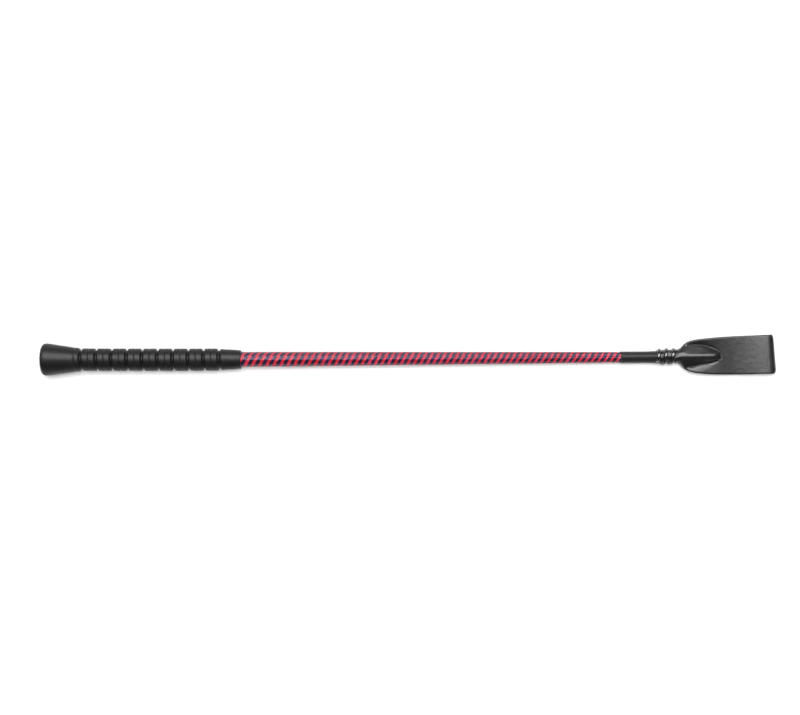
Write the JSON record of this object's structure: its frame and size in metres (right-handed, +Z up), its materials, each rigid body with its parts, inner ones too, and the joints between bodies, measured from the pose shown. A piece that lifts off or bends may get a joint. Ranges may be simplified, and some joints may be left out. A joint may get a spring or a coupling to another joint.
{
  "type": "riding crop",
  "caption": "Riding crop lying on its side: ribbed rubber grip with a flared butt, flexible braided shaft, corded tip and a folded leather keeper that flexes.",
  "frame": {"origin": "on the ground under the middle of the crop's length, as it lies on its side", "axes": "+X along the crop from the butt to the keeper, +Z up, the keeper's leaves level and facing up and down; the shaft's own axis dips 0.74 degrees towards the keeper"},
  "size_m": [0.6, 0.0316, 0.0258],
  "materials": {
    "grip_rubber": "moulded black rubber, satin",
    "sleeve_plastic": "plain extruded tube, hidden",
    "fibreglass": "ground glass-fibre rod, hidden",
    "braid": "tight nylon braid, crimson and dark navy spirals",
    "whipping_thread": "fine black waxed thread, close wound",
    "cap_plastic": "moulded cap, hidden",
    "keeper_leather": "glossy black grain leather",
    "waxed_cord": "glossy waxed black cord",
    "stitch_thread": "black waxed thread"
  },
  "bodies": {
    "handle": {"grip": "grip_rubber", "grip_sleeve": "sleeve_plastic", "core_rod_1": "fibreglass", "braid_cover_1": "braid"},
    "shaft_span_2": {"core_rod_2": "fibreglass", "braid_cover_2": "braid"},
    "shaft_span_3": {"core_rod_3": "fibreglass", "braid_cover_3": "braid"},
    "shaft_span_4": {"core_rod_4": "fibreglass", "braid_cover_4": "braid"},
    "shaft_span_5": {"core_rod_5": "fibreglass", "braid_cover_5": "braid"},
    "shaft_span_6": {"core_rod_6": "fibreglass", "braid_cover_6": "braid"},
    "tip": {"core_rod_7": "fibreglass", "braid_cover_7": "braid", "tip_whipping": "whipping_thread", "tip_cap": "cap_plastic", "keeper_pocket": "keeper_leather", "binding_cord": "waxed_cord", "pocket_stitching": "stitch_thread"},
    "keeper_flap": {"keeper_flap": "keeper_leather"}
  },
  "joints": [
    {"name": "shaft_bend_flat_1", "type": "hinge", "parent": "handle", "child": "shaft_span_2", "pos_m": [-0.09498, 0, 0.01029], "axis": [0, -1, 0], "range_deg": [-8, 8], "stiffness_Nm_per_rad": 40.5},
    {"name": "shaft_bend_edge_1", "type": "hinge", "parent": "shaft_span_2", "child": "shaft_span_3", "pos_m": [-0.05099, 0, 0.00972], "axis": [0.0129, 0, 0.9999], "range_deg": [-8, 8], "stiffness_Nm_per_rad": 33.8},
    {"name": "shaft_bend_flat_2", "type": "hinge", "parent": "shaft_span_3", "child": "shaft_span_4", "pos_m": [-0.00699, 0, 0.00916], "axis": [0, -1, 0], "range_deg": [-8, 8], "stiffness_Nm_per_rad": 28},
    {"name": "shaft_bend_edge_2", "type": "hinge", "parent": "shaft_span_4", "child": "shaft_span_5", "pos_m": [0.037, 0, 0.00859], "axis": [0.0129, 0, 0.9999], "range_deg": [-8, 8], "stiffness_Nm_per_rad": 22.9},
    {"name": "shaft_bend_flat_3", "type": "hinge", "parent": "shaft_span_5", "child": "shaft_span_6", "pos_m": [0.081, 0, 0.00802], "axis": [0, -1, 0], "range_deg": [-8, 8], "stiffness_Nm_per_rad": 18.6},
    {"name": "shaft_bend_edge_3", "type": "hinge", "parent": "shaft_span_6", "child": "tip", "pos_m": [0.125, 0, 0.00745], "axis": [0.0129, 0, 0.9999], "range_deg": [-8, 8], "stiffness_Nm_per_rad": 14.9},
    {"name": "keeper_flex", "type": "hinge", "parent": "tip", "child": "keeper_flap", "pos_m": [0.26049, 0, 0.0057], "axis": [0, -1, 0], "range_deg": [-60, 60], "stiffness_Nm_per_rad": 0.1}
  ],
  "couplings": [
    {"joint": "shaft_bend_flat_2", "follows": "shaft_bend_flat_1", "ratio": 1},
    {"joint": "shaft_bend_edge_2", "follows": "shaft_bend_edge_1", "ratio": 1},
    {"joint": "shaft_bend_flat_3", "follows": "shaft_bend_flat_1", "ratio": 1},
    {"joint": "shaft_bend_edge_3", "follows": "shaft_bend_edge_1", "ratio": 1}
  ]
}
